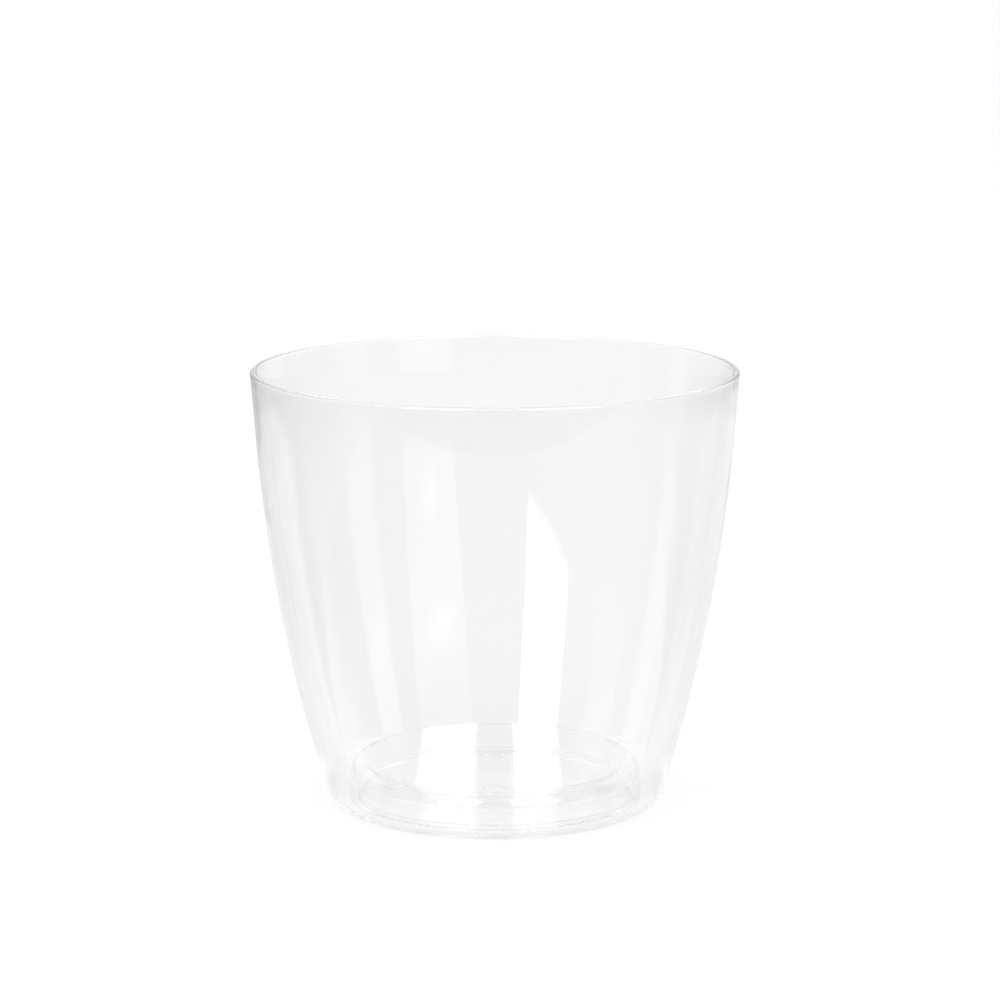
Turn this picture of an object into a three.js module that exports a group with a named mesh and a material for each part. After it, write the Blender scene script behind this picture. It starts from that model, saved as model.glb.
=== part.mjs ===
// Clear plant pot: a thin bowed shell with a rounded lip, and a low stand that lifts out of its base.
// Millimetres, +Z up. The origin is on the table, under the middle of the pot.
import * as THREE from 'three';

// Pot, outside form
const RIM_DIAMETER = 125; // over the lip
const POT_HEIGHT = 113;
const WALL_BOW_RADIUS = 426; // the wall seen from the side is one large arc
const WALL_LEAN_AT_RIM = 2; // degrees from upright, where the wall runs into the lip
const FOOT_ROUND = 4; // outer edge between the wall and the foot

// Pot, thicknesses
const WALL = 1.4;
const FLOOR = 1.6; // over the foot ring
const SMALLEST_ROUND = 0.3; // inner rounds never get sharper than this

// Lip: a bead that stands a little proud of the wall, with a full round on top
const LIP_PROUD = 0.3;
const LIP_HEIGHT = 2.4;

// Underside: the pot stands on a ring, and the floor inside the ring is set up clear of the table
const FOOT_RING_WIDTH = 4;
const FOOT_RECESS = 0.5;

// Round mark where the plastic enters each mould
const GATE_DIAMETER = 6;
const GATE_DEPTH = 0.3;

// Stand: an upturned dish with a gutter round it
const GUTTER_WIDTH = 1.9; // flat floor between the stand and the inner round of the foot
const STAND_HEIGHT = 9.1;
const STAND_WALL = 1.3;
const STAND_EDGE_ROUND = 4; // outer top edge, with the same wall all round the bend
const STAND_DRAFT = 1; // degrees, the skirt widens downwards
const SEAT_GAP = 0.3; // between the stand and the floor

// Low ring on the floor that keeps the stand in the middle
const LOCATING_RING_HEIGHT = 1.2;
const LOCATING_RING_WIDTH = 1;
const LOCATING_CLEARANCE = 0.3; // between the ring and the inside of the skirt

// Facets
const SIDES = 72;
const ARC_STEPS = 4; // half the number of steps in each arc of a profile

const radians = THREE.MathUtils.degToRad;
const rimRadius = RIM_DIAMETER / 2;
const lean = radians(WALL_LEAN_AT_RIM);

// The inside and the outside of the wall are arcs about one centre, far on the other side of the axis.
const wallCentre = {
  r: rimRadius - LIP_PROUD - WALL_BOW_RADIUS * Math.cos(lean),
  z: POT_HEIGHT + WALL_BOW_RADIUS * Math.sin(lean),
};

// Angle, about the wall's centre, of the point at height z on a wall arc.
function wallAngle(arcRadius, z) {
  return Math.asin((z - wallCentre.z) / arcRadius);
}

// Round that touches a wall arc on one side and the level z on the other.
function footRound(arcRadius, z, radius) {
  const angle = wallAngle(arcRadius - radius, z + radius);
  return { radius, angle, r: wallCentre.r + (arcRadius - radius) * Math.cos(angle), z: z + radius };
}

const innerBowRadius = WALL_BOW_RADIUS - WALL;
const outerFoot = footRound(WALL_BOW_RADIUS, 0, FOOT_ROUND);
const innerFoot = footRound(innerBowRadius, FLOOR, Math.max(FOOT_ROUND - WALL, SMALLEST_ROUND));

const standFoot = FLOOR + SEAT_GAP;
const standRadius = innerFoot.r - GUTTER_WIDTH; // outside of the skirt, at its lower edge

// Turns a closed profile, drawn as radius and height, about the vertical axis.
function revolve(profile) {
  return new THREE.LatheGeometry(profile.getPoints(ARC_STEPS), SIDES).rotateX(Math.PI / 2);
}

function clearPlastic() {
  return new THREE.MeshStandardMaterial({
    color: 0xf2f5f6,
    roughness: 0.06,
    metalness: 0,
    transparent: true,
    opacity: 0.3,
  });
}

// The pot in one profile: underside, foot, wall, lip, then back down the inside to the floor.
function potShell() {
  const gate = GATE_DIAMETER / 2;
  const ringInside = outerFoot.r - FOOT_RING_WIDTH;
  const lipThickness = WALL + LIP_PROUD;
  const lipRound = lipThickness / 2;
  const lipFoot = POT_HEIGHT - LIP_HEIGHT;
  const locatingOutside = standRadius - STAND_WALL - LOCATING_CLEARANCE;
  const locatingInside = locatingOutside - LOCATING_RING_WIDTH;
  const locatingTop = FLOOR + LOCATING_RING_HEIGHT;
  const profile = new THREE.Path();

  // underside, with the gate mark in the middle
  profile.moveTo(0, FOOT_RECESS + GATE_DEPTH);
  profile.lineTo(gate - GATE_DEPTH, FOOT_RECESS + GATE_DEPTH);
  profile.lineTo(gate, FOOT_RECESS);
  profile.lineTo(ringInside - FOOT_RECESS, FOOT_RECESS);
  profile.lineTo(ringInside, 0);

  // outside
  profile.absarc(outerFoot.r, outerFoot.z, outerFoot.radius, -Math.PI / 2, outerFoot.angle, false);
  const lipAngle = wallAngle(WALL_BOW_RADIUS, lipFoot);
  profile.absarc(wallCentre.r, wallCentre.z, WALL_BOW_RADIUS, outerFoot.angle, lipAngle, false);

  // lip
  profile.lineTo(rimRadius, lipFoot + LIP_PROUD);
  profile.absarc(rimRadius - lipRound, POT_HEIGHT - lipRound, lipRound, 0, Math.PI, false);

  // inside
  const innerLipAngle = wallAngle(innerBowRadius, lipFoot);
  profile.absarc(wallCentre.r, wallCentre.z, innerBowRadius, innerLipAngle, innerFoot.angle, true);
  profile.absarc(innerFoot.r, innerFoot.z, innerFoot.radius, innerFoot.angle, -Math.PI / 2, true);
  profile.lineTo(locatingOutside, FLOOR);
  profile.lineTo(locatingOutside, locatingTop);
  profile.lineTo(locatingInside, locatingTop);
  profile.lineTo(locatingInside, FLOOR);
  profile.lineTo(0, FLOOR);

  const mesh = new THREE.Mesh(revolve(profile), clearPlastic());
  mesh.name = 'pot_shell';
  return mesh;
}

// The stand in its own frame, with its lower edge at height 0.
function raisedStand() {
  const gate = GATE_DIAMETER / 2;
  const draft = radians(STAND_DRAFT);
  const narrowing = Math.tan(draft);
  const outerRound = {
    r: standRadius - narrowing * (STAND_HEIGHT - STAND_EDGE_ROUND) - STAND_EDGE_ROUND,
    z: STAND_HEIGHT - STAND_EDGE_ROUND,
  };
  const ceiling = STAND_HEIGHT - STAND_WALL;
  const skirtInside = standRadius - STAND_WALL;
  const bend = Math.max(STAND_EDGE_ROUND - STAND_WALL, SMALLEST_ROUND);
  const innerRound = {
    r: skirtInside - narrowing * (ceiling - bend) - bend,
    z: ceiling - bend,
  };
  const profile = new THREE.Path();

  // underside of the top, then the inside of the skirt
  profile.moveTo(0, ceiling);
  profile.lineTo(innerRound.r, ceiling);
  profile.absarc(innerRound.r, innerRound.z, bend, Math.PI / 2, 0, true);
  profile.lineTo(skirtInside, 0);

  // outside of the skirt, rounded edge and top, with the gate mark in the middle
  profile.lineTo(standRadius, 0);
  profile.absarc(outerRound.r, outerRound.z, STAND_EDGE_ROUND, 0, Math.PI / 2, false);
  profile.lineTo(gate, STAND_HEIGHT);
  profile.lineTo(gate - GATE_DEPTH, STAND_HEIGHT - GATE_DEPTH);
  profile.lineTo(0, STAND_HEIGHT - GATE_DEPTH);

  const mesh = new THREE.Mesh(revolve(profile), clearPlastic());
  mesh.name = 'raised_stand';
  mesh.position.z = standFoot;
  return mesh;
}

const plantPot = new THREE.Group();
plantPot.add(potShell(), raisedStand());

export default plantPot;
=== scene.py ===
"""Looks of a clear plastic plant pot with a loose raised stand in its base.

The two pieces are turned again from the same sizes as the solids, with far more sides and with
every edge rounded, because facets show at once in clear plastic.
"""
import math

import bpy
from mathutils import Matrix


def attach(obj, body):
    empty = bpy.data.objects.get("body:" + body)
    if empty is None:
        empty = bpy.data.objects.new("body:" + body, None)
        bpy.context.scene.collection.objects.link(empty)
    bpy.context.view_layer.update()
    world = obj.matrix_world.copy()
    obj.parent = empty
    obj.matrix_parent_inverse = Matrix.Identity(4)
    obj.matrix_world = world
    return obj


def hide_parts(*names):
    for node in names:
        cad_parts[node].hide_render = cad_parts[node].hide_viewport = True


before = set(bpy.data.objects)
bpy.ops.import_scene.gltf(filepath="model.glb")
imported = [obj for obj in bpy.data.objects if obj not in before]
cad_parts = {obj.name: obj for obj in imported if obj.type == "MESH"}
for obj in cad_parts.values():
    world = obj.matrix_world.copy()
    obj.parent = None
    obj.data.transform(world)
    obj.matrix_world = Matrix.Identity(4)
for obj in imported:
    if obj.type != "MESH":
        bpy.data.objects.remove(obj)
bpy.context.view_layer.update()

# Sizes in millimetres, as in the part's source.
RIM_RADIUS = 62.5
POT_HEIGHT = 113.0
WALL_BOW_RADIUS = 426.0
WALL_LEAN_AT_RIM = math.radians(2)
FOOT_ROUND = 4.0
WALL = 1.4
FLOOR = 1.6
LIP_PROUD = 0.3
FOOT_RING_WIDTH = 4.0
FOOT_RECESS = 0.5
GATE_RADIUS = 3.0
GATE_DEPTH = 0.3
GUTTER_WIDTH = 1.9
STAND_HEIGHT = 9.1
STAND_WALL = 1.3
STAND_EDGE_ROUND = 4.0
STAND_DRAFT = math.radians(1)
SEAT_GAP = 0.3
LOCATING_RING_HEIGHT = 1.2
LOCATING_RING_WIDTH = 1.0
LOCATING_CLEARANCE = 0.3

# Roundings that are too small for the solids, in millimetres.
GATE_EDGE_ROUND = 0.12
RECESS_EDGE_ROUND = 0.3
RING_EDGE_ROUND = 0.15
SKIRT_EDGE_ROUND = 0.2

# The outer wall widens into the lip over this height, and the stand is shown seated on the floor.
LIP_FLARE_HEIGHT = 14.0
SEAT_GAP_SHOWN = 0.02

SIDES = 480
WALL_STEPS = 24
LIP_STEPS = 12
LIP_ROUND_TRIES = 20
ROUND_STEP = math.radians(4.5)
SMALL_ROUND, SMALL_ROUND_STEPS = 0.4, 6
SAME_POINT = 1e-6
MILLIMETRE = 0.001

# The camera, from a fit to the outline of the pot in the picture.
CAMERA_PLACE = (0.0013, -0.8794, 0.2476)
CAMERA_PITCH = math.radians(10.867)
CAMERA_LENS = 125.18
CAMERA_CLIP = 0.01


class Outline:
    """The outline of a turned piece: radius, height and the outward normal at each point.

    It goes from the axis back to the axis with the plastic on its left.
    """

    def __init__(self):
        self.points = []

    def add(self, place, normal):
        if self.points and math.dist(self.points[-1][0], place) < SAME_POINT:
            return
        self.points.append((place, normal))

    def arc(self, centre, radius, start, end, steps=None):
        outward = 1 if end > start else -1
        if steps is None:
            small = radius < SMALL_ROUND
            steps = SMALL_ROUND_STEPS if small else math.ceil(abs(end - start) / ROUND_STEP)
        for step in range(steps + 1):
            angle = start + (end - start) * step / steps
            across, up = math.cos(angle), math.sin(angle)
            place = (centre[0] + radius * across, centre[1] + radius * up)
            self.add(place, (outward * across, outward * up))

    def run(self, *corners):
        """Straight lines between (radius, height, rounding) corners, rounded where a rounding is given."""
        self.add(corners[0][:2], right_of(heading(corners[0], corners[1])))
        for before, corner, after in zip(corners, corners[1:], corners[2:]):
            self.round(before, corner, after)
        self.add(corners[-1][:2], right_of(heading(corners[-2], corners[-1])))

    def round(self, before, corner, after):
        r, z, rounding = corner
        way_in, way_out = heading(before, corner), heading(corner, after)
        turn = math.atan2(
            way_in[0] * way_out[1] - way_in[1] * way_out[0],
            way_in[0] * way_out[0] + way_in[1] * way_out[1],
        )
        reach = rounding * math.tan(abs(turn) / 2)
        side = math.copysign(1, turn)
        outside = right_of(way_in)
        centre = (
            r - way_in[0] * reach - side * outside[0] * rounding,
            z - way_in[1] * reach - side * outside[1] * rounding,
        )
        start = math.atan2(side * outside[1], side * outside[0])
        self.arc(centre, rounding, start, start + turn)


def heading(start, end):
    across, up = end[0] - start[0], end[1] - start[1]
    length = math.hypot(across, up)
    return across / length, up / length


def right_of(direction):
    return direction[1], -direction[0]


wall_centre = (
    RIM_RADIUS - LIP_PROUD - WALL_BOW_RADIUS * math.cos(WALL_LEAN_AT_RIM),
    POT_HEIGHT + WALL_BOW_RADIUS * math.sin(WALL_LEAN_AT_RIM),
)
inner_bow_radius = WALL_BOW_RADIUS - WALL


def wall_angle(bow_radius, height):
    """The angle about the centre of the wall's bow at which the wall is at that height."""
    return math.asin((height - wall_centre[1]) / bow_radius)


def wall_point(bow_radius, height):
    return wall_centre[0] + bow_radius * math.cos(wall_angle(bow_radius, height)), height


def foot_round(bow_radius, height, rounding):
    """Centre and end angle of the rounding that joins a level face to the bowed wall."""
    angle = wall_angle(bow_radius - rounding, height + rounding)
    radius = wall_centre[0] + (bow_radius - rounding) * math.cos(angle)
    return (radius, height + rounding), angle


outer_foot, outer_foot_angle = foot_round(WALL_BOW_RADIUS, 0, FOOT_ROUND)
inner_foot, inner_foot_angle = foot_round(inner_bow_radius, FLOOR, FOOT_ROUND - WALL)
stand_radius = inner_foot[0] - GUTTER_WIDTH
stand_foot = FLOOR + SEAT_GAP_SHOWN


def lip_round():
    """The round of the lip: it reaches the rim's radius outside and meets the inner wall without a kink."""
    radius = (WALL + LIP_PROUD) / 2
    for _ in range(LIP_ROUND_TRIES):
        centre = (RIM_RADIUS - radius, POT_HEIGHT - radius)
        inner_lean = -wall_angle(inner_bow_radius, centre[1])
        inner_wall = wall_point(inner_bow_radius, centre[1] + radius * math.sin(inner_lean))[0]
        radius = (RIM_RADIUS - inner_wall) / (1 + math.cos(inner_lean))
    outer_lean = math.atan(flare_slope(centre[1]))
    return {"centre": centre, "radius": radius, "inner_lean": inner_lean, "outer_lean": outer_lean}


def flare_slope(height):
    """How much the outer wall widens for each millimetre of height where it flares into the lip."""
    share = 1 - (POT_HEIGHT - height) / LIP_FLARE_HEIGHT
    return 2 * LIP_PROUD * share / LIP_FLARE_HEIGHT - math.tan(wall_angle(WALL_BOW_RADIUS, height))


def flare(outline, start, lip):
    """The top of the outer wall, which widens slightly towards the lip."""
    end = lip["centre"][1] - lip["radius"] * math.sin(lip["outer_lean"])
    meets = lip["centre"][0] + lip["radius"] * math.cos(lip["outer_lean"])
    proud = meets - wall_point(WALL_BOW_RADIUS, end)[0]
    for step in range(1, LIP_STEPS):
        share = step / LIP_STEPS
        height = start + (end - start) * share
        radius = wall_point(WALL_BOW_RADIUS, height)[0] + proud * share * share
        slope = 2 * proud * share / (end - start) - math.tan(wall_angle(WALL_BOW_RADIUS, height))
        length = math.hypot(1, slope)
        outline.add((radius, height), (1 / length, -slope / length))


def pot_outline():
    outline = Outline()
    ring_inside = outer_foot[0] - FOOT_RING_WIDTH
    outline.run(
        (0, FOOT_RECESS + GATE_DEPTH),
        (GATE_RADIUS - GATE_DEPTH, FOOT_RECESS + GATE_DEPTH, GATE_EDGE_ROUND),
        (GATE_RADIUS, FOOT_RECESS, GATE_EDGE_ROUND),
        (ring_inside - FOOT_RECESS, FOOT_RECESS, RECESS_EDGE_ROUND),
        (ring_inside, 0, RECESS_EDGE_ROUND),
        (outer_foot[0], 0),
    )
    outline.arc(outer_foot, FOOT_ROUND, -math.pi / 2, outer_foot_angle)

    lip = lip_round()
    flare_start = POT_HEIGHT - LIP_FLARE_HEIGHT
    flare_angle = wall_angle(WALL_BOW_RADIUS, flare_start)
    outline.arc(wall_centre, WALL_BOW_RADIUS, outer_foot_angle, flare_angle, WALL_STEPS)
    flare(outline, flare_start, lip)
    outline.arc(lip["centre"], lip["radius"], -lip["outer_lean"], math.pi - lip["inner_lean"])
    outline.arc(wall_centre, inner_bow_radius, -lip["inner_lean"], inner_foot_angle, WALL_STEPS)
    outline.arc(inner_foot, FOOT_ROUND - WALL, inner_foot_angle, -math.pi / 2)

    ring_outside = stand_radius - STAND_WALL - LOCATING_CLEARANCE
    ring_top = FLOOR + LOCATING_RING_HEIGHT
    outline.run(
        (inner_foot[0], FLOOR),
        (ring_outside, FLOOR, RING_EDGE_ROUND),
        (ring_outside, ring_top, RING_EDGE_ROUND),
        (ring_outside - LOCATING_RING_WIDTH, ring_top, RING_EDGE_ROUND),
        (ring_outside - LOCATING_RING_WIDTH, FLOOR, RING_EDGE_ROUND),
        (0, FLOOR),
    )
    return outline


def stand_outline():
    outline = Outline()
    top = FLOOR + SEAT_GAP + STAND_HEIGHT
    ceiling = top - STAND_WALL
    drawn_in = STAND_HEIGHT * math.tan(STAND_DRAFT)
    skirt_inside = stand_radius - STAND_WALL
    outline.run(
        (0, ceiling),
        (skirt_inside - drawn_in, ceiling, STAND_EDGE_ROUND - STAND_WALL),
        (skirt_inside, stand_foot, SKIRT_EDGE_ROUND),
        (stand_radius, stand_foot, SKIRT_EDGE_ROUND),
        (stand_radius - drawn_in, top, STAND_EDGE_ROUND),
        (GATE_RADIUS, top, GATE_EDGE_ROUND),
        (GATE_RADIUS - GATE_DEPTH, top - GATE_DEPTH, GATE_EDGE_ROUND),
        (0, top - GATE_DEPTH),
    )
    return outline


def turned(name, outline):
    """A closed mesh made by turning an outline about the Z axis."""
    places, normals, rings = [], [], []
    for (radius, height), (across, up) in outline.points:
        count = 1 if radius < SAME_POINT else SIDES
        rings.append([len(places) + side for side in range(count)])
        for side in range(count):
            angle = 2 * math.pi * side / SIDES
            places.append((radius * math.cos(angle), radius * math.sin(angle), height))
            normals.append((across * math.cos(angle), across * math.sin(angle), up))
    mesh = bpy.data.meshes.new(name)
    mesh.from_pydata([[c * MILLIMETRE for c in place] for place in places], [], ring_faces(rings))
    mesh.shade_smooth()
    mesh.normals_split_custom_set_from_vertices(normals)
    piece = bpy.data.objects.new(name, mesh)
    bpy.context.scene.collection.objects.link(piece)
    return piece


def ring_faces(rings):
    faces = []
    for lower, upper in zip(rings, rings[1:]):
        for side in range(SIDES):
            following = (side + 1) % SIDES
            if len(lower) == 1:
                faces.append((lower[0], upper[following], upper[side]))
            elif len(upper) == 1:
                faces.append((lower[side], lower[following], upper[0]))
            else:
                faces.append((lower[side], lower[following], upper[following], upper[side]))
    return faces


class Nodes:
    """Short calls for building a node tree."""

    def __init__(self, tree):
        self.tree = tree
        tree.nodes.clear()

    def add(self, kind, inputs=None, **settings):
        node = self.tree.nodes.new(kind)
        for setting, value in settings.items():
            setattr(node, setting, value)
        for socket, value in (inputs or {}).items():
            if isinstance(value, bpy.types.NodeSocket):
                self.tree.links.new(value, node.inputs[socket])
            else:
                node.inputs[socket].default_value = value
        return node

    def math(self, operation, first, second=0.0, third=0.0):
        return self.add("ShaderNodeMath", {0: first, 1: second, 2: third}, operation=operation).outputs[0]

    def mix(self, share, first, second):
        return self.add("ShaderNodeMix", {"Factor": share, "A": first, "B": second}).outputs["Result"]

    def ramp(self, value, from_low, from_high, to_low=0.0, to_high=1.0):
        return self.add("ShaderNodeMapRange", {
            "Value": value,
            "From Min": from_low, "From Max": from_high,
            "To Min": to_low, "To Max": to_high,
        }).outputs["Result"]

    def band(self, value, low, high, soft):
        """One between low and high, zero outside, with soft edges."""
        rise = self.ramp(value, low - soft, low + soft)
        fall = self.ramp(value, high - soft, high + soft, 1.0, 0.0)
        return self.math("MULTIPLY", rise, fall)

    def noise(self, place, scale, detail):
        inputs = {"Vector": place, "Scale": scale, "Detail": detail}
        return self.add("ShaderNodeTexNoise", inputs).outputs["Fac"]


PLASTIC_IOR = 1.58
PLASTIC_COLOUR = (0.998, 0.998, 0.998, 1.0)
SHADOW_COLOUR = (0.9, 0.905, 0.905, 1.0)
SMUDGE_SCALE, SMUDGE_DETAIL = 45.0, 4.0
SMUDGE_RANGE, SMUDGE_ROUGHNESS = (0.35, 0.75), (0.01, 0.035)
FLOW_LINE_SCALE, FLOW_LINE_DETAIL = 11.0, 2.0
FLOW_LINE_CLIMB = 1.5
WAVE_SCALE, WAVE_DETAIL = 28.0, 1.0
# Heights of the flow lines and of the slow waves in the surface, in metres.
SHELL_FLOW_LINES, SHELL_WAVES = 1.0e-5, 1.0e-4
STAND_FLOW_LINES, STAND_WAVES = 3.0e-6, 3.0e-5


def flow_place(nodes, place):
    """A place for noise that runs up the wall, and outwards from the gate on level faces."""
    sides = nodes.add("ShaderNodeSeparateXYZ", {0: place}).outputs
    level = nodes.add("ShaderNodeCombineXYZ", {"X": sides["X"], "Y": sides["Y"]}).outputs["Vector"]
    around = nodes.add("ShaderNodeVectorMath", {0: level}, operation="NORMALIZE").outputs["Vector"]
    turned_sides = nodes.add("ShaderNodeSeparateXYZ", {0: around}).outputs
    climb = nodes.math("MULTIPLY", sides["Z"], FLOW_LINE_CLIMB)
    inputs = {"X": turned_sides["X"], "Y": turned_sides["Y"], "Z": climb}
    return nodes.add("ShaderNodeCombineXYZ", inputs).outputs["Vector"]


def clear_plastic(name, flow_line_height, wave_height):
    material = bpy.data.materials.new(name)
    material.use_nodes = True
    nodes = Nodes(material.node_tree)
    place = nodes.add("ShaderNodeTexCoord").outputs["Object"]
    smudges = nodes.noise(place, SMUDGE_SCALE, SMUDGE_DETAIL)
    roughness = nodes.ramp(smudges, *SMUDGE_RANGE, *SMUDGE_ROUGHNESS)
    flow_lines = nodes.noise(flow_place(nodes, place), FLOW_LINE_SCALE, FLOW_LINE_DETAIL)
    waves = nodes.noise(place, WAVE_SCALE, WAVE_DETAIL)
    height = nodes.math("MULTIPLY", waves, wave_height)
    height = nodes.math("MULTIPLY_ADD", flow_lines, flow_line_height, height)
    bump = nodes.add("ShaderNodeBump", {"Strength": 1.0, "Distance": 1.0, "Height": height})
    plastic = nodes.add("ShaderNodeBsdfPrincipled", {
        "Base Color": PLASTIC_COLOUR,
        "Roughness": roughness,
        "IOR": PLASTIC_IOR,
        "Transmission Weight": 1.0,
        "Normal": bump.outputs["Normal"],
    })
    shade = nodes.add("ShaderNodeBsdfTransparent", {"Color": SHADOW_COLOUR})
    rays = nodes.add("ShaderNodeLightPath")
    surface = nodes.add("ShaderNodeMixShader", {
        0: rays.outputs["Is Shadow Ray"], 1: plastic.outputs["BSDF"], 2: shade.outputs["BSDF"],
    })
    nodes.add("ShaderNodeOutputMaterial", {"Surface": surface.outputs["Shader"]})
    return material


def dress(piece, material, body, node):
    piece.data.materials.append(material)
    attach(piece, body)
    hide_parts(node)


def eye_rays(nodes):
    """Masks for rays that the eye follows: all of them, and those that no surface has mirrored."""
    rays = nodes.add("ShaderNodeLightPath").outputs
    through = nodes.math("MAXIMUM", rays["Is Camera Ray"], rays["Is Transmission Ray"])
    followed = nodes.math("MAXIMUM", through, rays["Is Glossy Ray"])
    unmirrored = nodes.math("LESS_THAN", rays["Glossy Depth"], 0.5)
    return followed, nodes.math("MULTIPLY", through, unmirrored)


FLOOR_REACH = 30.0
FLOOR_CLEARANCE = 0.0001
FLOOR_PALE = 0.8
FLOOR_SHADED = 0.12
FLOOR_GLOW = 0.88

# Where the plastic mirrors it, the floor glows with a painted reflection of a pale table in a darker room,
# with painted light brightest behind the pot.
# Places are in metres. A pair of them says where one glow passes into the next.
TABLE_GLOW_LEFT, TABLE_GLOW_RIGHT = 0.56, 0.66
TABLE_GLOW_TURN = (-0.2, 0.2)
TABLE_LEFT, TABLE_RIGHT = (-0.6, -0.26), (0.5, 0.7)
TABLE_WIDENING, TABLE_FRONT_WIDER = (-0.3, 0.0), 0.72
TABLE_FRONT, TABLE_BACK = -0.393, 0.42
TABLE_EDGE_SOFT = 0.004
TABLE_BRIGHTENING, TABLE_BACK_BRIGHTER = (0.02, 0.2), 1.19
BEHIND_GLOW = 0.77
BEHIND_HALF_WIDTH, BEHIND_SIDE_SOFT = 0.13, 0.04
BEHIND_FROM = (-0.075, -0.045)
BACK_GLOW_LEFT, BACK_GLOW_RIGHT = 0.47, 0.82
BACK_GLOW_TURN = (-0.3, 0.3)
BACK_FROM = (0.0, 0.45)
ROOM_FLOOR_GLOW = 0.12
ROOM_FLOOR_FROM = (1.0, 1.6)
ROOM_FLOOR_BESIDE = (0.55, 0.85)

# The floor close to the pot, in rings round its axis, where the plastic mirrors it: painted light under the
# clear base and painted shade in front, beside the foot.
UNDER_GLOW_FRONT, UNDER_GLOW_BACK = 0.76, 0.86
UNDER_GLOW_TURN = (-0.02, 0.02)
UNDER_EDGE = (0.039, 0.041)
FOOT_GLOW = 0.8
FOOT_EDGE = (0.044, 0.046)
BESIDE_GLOW_MIDDLE, BESIDE_GLOW_FRONT, BESIDE_GLOW_BACK = 0.86, 0.6, 0.86
BESIDE_GLOW_TURN = (-0.005, 0.01)
BESIDE_MIDDLE = (0.034, 0.044)
BESIDE_PAINTED_SHADE = (0.046, 0.053)
BESIDE_EDGE = (0.058, 0.068)

# A painted streak of window light on the floor in front of the narrow window on the left. Its sides are in
# degrees.
PAINTED_WINDOW_STREAK = (-111.0, -98.0)
PAINTED_WINDOW_STREAK_FROM = (0.8, 1.2)
PAINTED_WINDOW_STREAK_GLOW = 0.36
EDGE_SOFT = 0.5


def azimuth_of(nodes, sides):
    """Degrees from the camera's side about the Z axis, right is positive."""
    turn = nodes.math("ARCTAN2", sides["X"], nodes.math("MULTIPLY", sides["Y"], -1.0))
    return nodes.math("DEGREES", turn)


def painted_floor_reflection(nodes):
    """Painted reflection: how brightly the floor glows where the plastic mirrors it."""
    place = nodes.add("ShaderNodeNewGeometry").outputs["Position"]
    sides = nodes.add("ShaderNodeSeparateXYZ", {0: place}).outputs
    away = nodes.add("ShaderNodeVectorMath", {0: place}, operation="LENGTH").outputs["Value"]
    widening = nodes.ramp(sides["Y"], *TABLE_WIDENING, TABLE_FRONT_WIDER, 1.0)
    narrowed = nodes.math("MULTIPLY", sides["X"], widening)
    across = nodes.math(
        "MULTIPLY", nodes.ramp(narrowed, *TABLE_LEFT), nodes.ramp(narrowed, *TABLE_RIGHT, 1.0, 0.0),
    )
    along = nodes.band(sides["Y"], TABLE_FRONT, TABLE_BACK, TABLE_EDGE_SOFT)
    table = nodes.ramp(sides["X"], *TABLE_GLOW_TURN, TABLE_GLOW_LEFT, TABLE_GLOW_RIGHT)
    brightening = nodes.ramp(sides["Y"], *TABLE_BRIGHTENING, 1.0, TABLE_BACK_BRIGHTER)
    table = nodes.math("MULTIPLY", table, brightening)
    aside = nodes.math("ABSOLUTE", sides["X"])
    back = nodes.ramp(sides["X"], *BACK_GLOW_TURN, BACK_GLOW_LEFT, BACK_GLOW_RIGHT)
    back = nodes.mix(nodes.ramp(aside, *ROOM_FLOOR_BESIDE), back, ROOM_FLOOR_GLOW)
    glow = nodes.mix(nodes.ramp(sides["Y"], *BACK_FROM), ROOM_FLOOR_GLOW, back)
    glow = nodes.mix(nodes.math("MULTIPLY", across, along), glow, table)
    glow = nodes.mix(nodes.ramp(away, *ROOM_FLOOR_FROM), glow, ROOM_FLOOR_GLOW)
    behind = nodes.math(
        "MULTIPLY",
        nodes.band(sides["X"], -BEHIND_HALF_WIDTH, BEHIND_HALF_WIDTH, BEHIND_SIDE_SOFT),
        nodes.ramp(sides["Y"], *BEHIND_FROM),
    )
    glow = nodes.mix(behind, glow, BEHIND_GLOW)
    # Painted window light on the floor, far out from the pot.
    painted_streak = nodes.band(azimuth_of(nodes, sides), *PAINTED_WINDOW_STREAK, EDGE_SOFT)
    far = nodes.ramp(away, *PAINTED_WINDOW_STREAK_FROM)
    glow = nodes.mix(nodes.math("MULTIPLY", painted_streak, far), glow, PAINTED_WINDOW_STREAK_GLOW)
    # Painted shade on the floor in front, beside the foot.
    front = nodes.ramp(away, *BESIDE_PAINTED_SHADE, FOOT_GLOW, BESIDE_GLOW_FRONT)
    beside = nodes.ramp(sides["Y"], *BESIDE_GLOW_TURN, front, BESIDE_GLOW_BACK)
    beside = nodes.mix(nodes.ramp(aside, *BESIDE_MIDDLE), BESIDE_GLOW_MIDDLE, beside)
    # Painted light on the floor under the clear base.
    under = nodes.ramp(sides["Y"], *UNDER_GLOW_TURN, UNDER_GLOW_FRONT, UNDER_GLOW_BACK)
    glow = nodes.mix(nodes.ramp(away, *BESIDE_EDGE), beside, glow)
    glow = nodes.mix(nodes.ramp(away, *FOOT_EDGE), FOOT_GLOW, glow)
    return nodes.mix(nodes.ramp(away, *UNDER_EDGE), under, glow)


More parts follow.
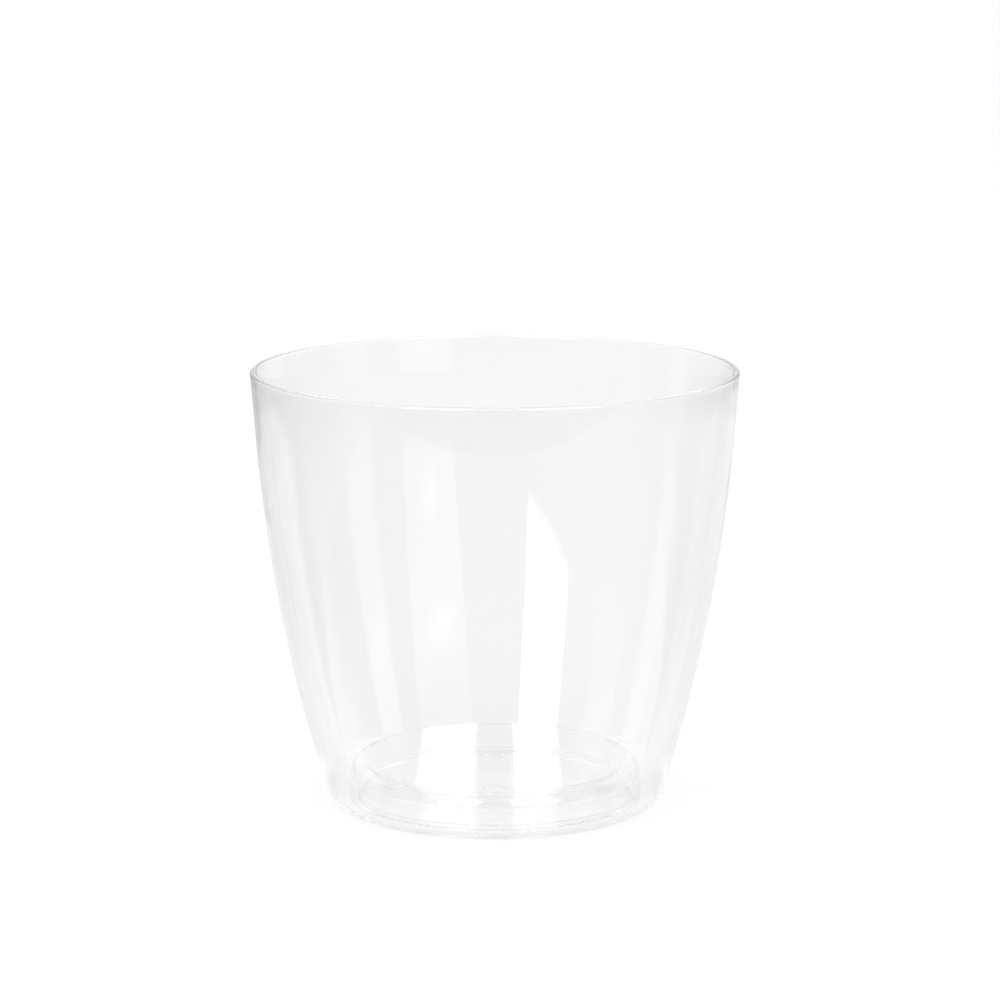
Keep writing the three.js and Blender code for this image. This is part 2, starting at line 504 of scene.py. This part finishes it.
def make_floor():
    reach = FLOOR_REACH
    mesh = bpy.data.meshes.new("floor")
    corners = [(-reach, -reach, 0), (reach, -reach, 0), (reach, reach, 0), (-reach, reach, 0)]
    mesh.from_pydata(corners, [], [(0, 1, 2, 3)])
    floor = bpy.data.objects.new("floor", mesh)
    floor.location.z = -FLOOR_CLEARANCE
    bpy.context.scene.collection.objects.link(floor)
    material = bpy.data.materials.new("pale_floor")
    material.use_nodes = True
    nodes = Nodes(material.node_tree)
    followed, unmirrored = eye_rays(nodes)
    # Eye rays see the floor glow evenly white, and see the painted reflection where the plastic has
    # mirrored them.
    glow_strength = nodes.mix(unmirrored, painted_floor_reflection(nodes), FLOOR_GLOW)
    pale = nodes.add("ShaderNodeBsdfDiffuse", {"Color": (FLOOR_PALE, FLOOR_PALE, FLOOR_PALE, 1)})
    shaded = nodes.add("ShaderNodeBsdfDiffuse", {"Color": (FLOOR_SHADED, FLOOR_SHADED, FLOOR_SHADED, 1)})
    glow = nodes.add("ShaderNodeEmission", {"Strength": glow_strength})
    white = nodes.add("ShaderNodeAddShader", {0: shaded.outputs["BSDF"], 1: glow.outputs["Emission"]})
    surface = nodes.add("ShaderNodeMixShader", {
        0: followed, 1: pale.outputs["BSDF"], 2: white.outputs["Shader"],
    })
    nodes.add("ShaderNodeOutputMaterial", {"Surface": surface.outputs["Shader"]})
    mesh.materials.append(material)


# Bright openings of the room, in degrees: azimuth from the camera's side (right is positive), elevation.
# Each side edge has its azimuth at the horizon, its slope and where it turns upright.
# The lower edge has its elevation at azimuth 0 and its slope.
# The glow is given low, in the middle and at the top.
WINDOWS = (
    {
        "left": (-41.5, -0.16, -49), "right": (-18.0, 0.1, -13),
        "low": (2.6, -0.126), "high": 60, "glow": (2.2, 2.2, 4.5),
    },
    {
        "left": (23.0, -0.43, 14.5), "right": (47.5, 0.4, 57),
        "low": (2.5, -0.03), "high": 60, "glow": (0.79, 0.52, 5.0),
    },
    {
        "left": (67.0, 0.0, 67), "right": (85.0, 0.0, 85),
        "low": (-3.0, 0.0), "high": 28, "glow": (0.55, 0.65, 0.65),
    },
    {
        "left": (-111.0, -3.0, -120), "right": (-98.0, 0.0, -98),
        "low": (-4.0, 0.0), "high": 28, "glow": (0.85, 0.85, 0.85),
    },
)
# Elevations at which the glow passes from low to middle, and from there to the top.
WINDOW_MIDDLE = (12.5, 14.5)
WINDOW_TOP = (20.0, 32.0)
# Lamps that show in the windows on the right: azimuth, elevation, half sizes in degrees and glow.
GLEAMS = (
    (32.5, 11.3, 14.0, 1.9, 0.8),
    (35.0, 4.2, 6.0, 2.4, 0.7),
    (75.0, 8.0, 12.0, 1.6, 0.4),
)
ROOM_GREY, ROOM_GREY_LEFT = 0.12, 0.42
ROOM_GREY_TURN = (-40.0, -20.0)
BACKDROP_WHITE = 1.22
BACKDROP_FROM = (0.2, 0.6)
CEILING_WHITE = 0.9
CEILING_FROM = (50.0, 65.0)


def opening(nodes, azimuth, elevation, window):
    """Mask of a bright opening with straight, slightly soft edges."""

    def past(value, edge):
        return nodes.ramp(nodes.math("SUBTRACT", value, edge), -EDGE_SOFT, EDGE_SOFT)

    def side(start, slope, limit):
        sloped = nodes.math("MULTIPLY_ADD", elevation, slope, start)
        return past(azimuth, nodes.math("MINIMUM" if limit > start else "MAXIMUM", sloped, limit))

    across = nodes.math("SUBTRACT", side(*window["left"]), side(*window["right"]))
    start, slope = window["low"]
    low = past(elevation, nodes.math("MULTIPLY_ADD", azimuth, slope, start))
    up = nodes.math("SUBTRACT", low, past(elevation, window["high"]))
    return nodes.math("MULTIPLY", across, up)


def gleam_light(nodes, azimuth, elevation, gleam):
    """Light of a soft oval spot, brightest in its middle."""
    middle_azimuth, middle_elevation, half_width, half_height, glow = gleam
    across = nodes.ramp(azimuth, middle_azimuth - half_width, middle_azimuth + half_width, -1.0, 1.0)
    up = nodes.ramp(elevation, middle_elevation - half_height, middle_elevation + half_height, -1.0, 1.0)
    off_centre = nodes.math("MULTIPLY_ADD", across, across, nodes.math("MULTIPLY", up, up))
    share = nodes.ramp(off_centre, 0.0, 1.0, 1.0, 0.0)
    return nodes.math("MULTIPLY", nodes.math("MULTIPLY", share, share), glow)


def make_room():
    world = bpy.data.worlds.new("room")
    bpy.context.scene.world = world
    world.use_nodes = True
    nodes = Nodes(world.node_tree)
    direction = nodes.add("ShaderNodeTexCoord").outputs["Generated"]
    sides = nodes.add("ShaderNodeSeparateXYZ", {0: direction}).outputs
    azimuth = azimuth_of(nodes, sides)
    elevation = nodes.math("DEGREES", nodes.math("ARCSINE", sides["Z"]))
    room = nodes.ramp(azimuth, *ROOM_GREY_TURN, ROOM_GREY_LEFT, ROOM_GREY)
    light = nodes.mix(nodes.ramp(sides["Y"], *BACKDROP_FROM), room, BACKDROP_WHITE)
    light = nodes.mix(nodes.ramp(elevation, *CEILING_FROM), light, CEILING_WHITE)
    for window in WINDOWS:
        low, middle, top = window["glow"]
        glow = nodes.ramp(elevation, *WINDOW_MIDDLE, low, middle)
        glow = nodes.ramp(elevation, *WINDOW_TOP, glow, top)
        light = nodes.mix(opening(nodes, azimuth, elevation, window), light, glow)
    for gleam in GLEAMS:
        light = nodes.math("ADD", light, gleam_light(nodes, azimuth, elevation, gleam))
    _, unmirrored = eye_rays(nodes)
    strength = nodes.mix(unmirrored, light, 1.0)
    background = nodes.add("ShaderNodeBackground", {"Strength": strength})
    nodes.add("ShaderNodeOutputWorld", {"Surface": background.outputs["Background"]})


LAMP_WIDTH, LAMP_DEPTH = 0.9, 0.7
LAMP_POWER = 4.0
LAMP_PLACE = (-0.5, -0.35, 1.2)
LAMP_TURN = (math.radians(16), math.radians(-22), 0)


def make_lamp():
    """A soft lamp from above that gives the pot its shadow."""
    light = bpy.data.lights.new("softbox", "AREA")
    light.shape = "RECTANGLE"
    light.size = LAMP_WIDTH
    light.size_y = LAMP_DEPTH
    light.energy = LAMP_POWER
    lamp = bpy.data.objects.new("softbox", light)
    lamp.location = LAMP_PLACE
    lamp.rotation_euler = LAMP_TURN
    lamp.visible_glossy = False
    lamp.visible_transmission = False
    bpy.context.scene.collection.objects.link(lamp)


def make_camera():
    data = bpy.data.cameras.new("camera")
    data.lens = CAMERA_LENS
    data.clip_start = CAMERA_CLIP
    camera = bpy.data.objects.new("camera", data)
    camera.location = CAMERA_PLACE
    camera.rotation_euler = (math.pi / 2 - CAMERA_PITCH, 0, 0)
    bpy.context.scene.collection.objects.link(camera)
    bpy.context.scene.camera = camera


CLEAR_BOUNCES = 768
SHADOW_BOUNCES = 32


def set_rays():
    """Clear walls behind clear walls need many bounces."""
    cycles = bpy.context.scene.cycles
    cycles.max_bounces = CLEAR_BOUNCES
    cycles.transmission_bounces = CLEAR_BOUNCES
    cycles.glossy_bounces = CLEAR_BOUNCES
    cycles.transparent_max_bounces = SHADOW_BOUNCES
    bpy.context.scene.view_settings.view_transform = "Standard"


shell_plastic = clear_plastic("clear_shell", SHELL_FLOW_LINES, SHELL_WAVES)
stand_plastic = clear_plastic("clear_stand", STAND_FLOW_LINES, STAND_WAVES)
dress(turned("clear_pot_shell", pot_outline()), shell_plastic, "pot", "pot_shell")
dress(turned("clear_stand", stand_outline()), stand_plastic, "stand", "raised_stand")
make_floor()
make_room()
make_lamp()
make_camera()
set_rays()
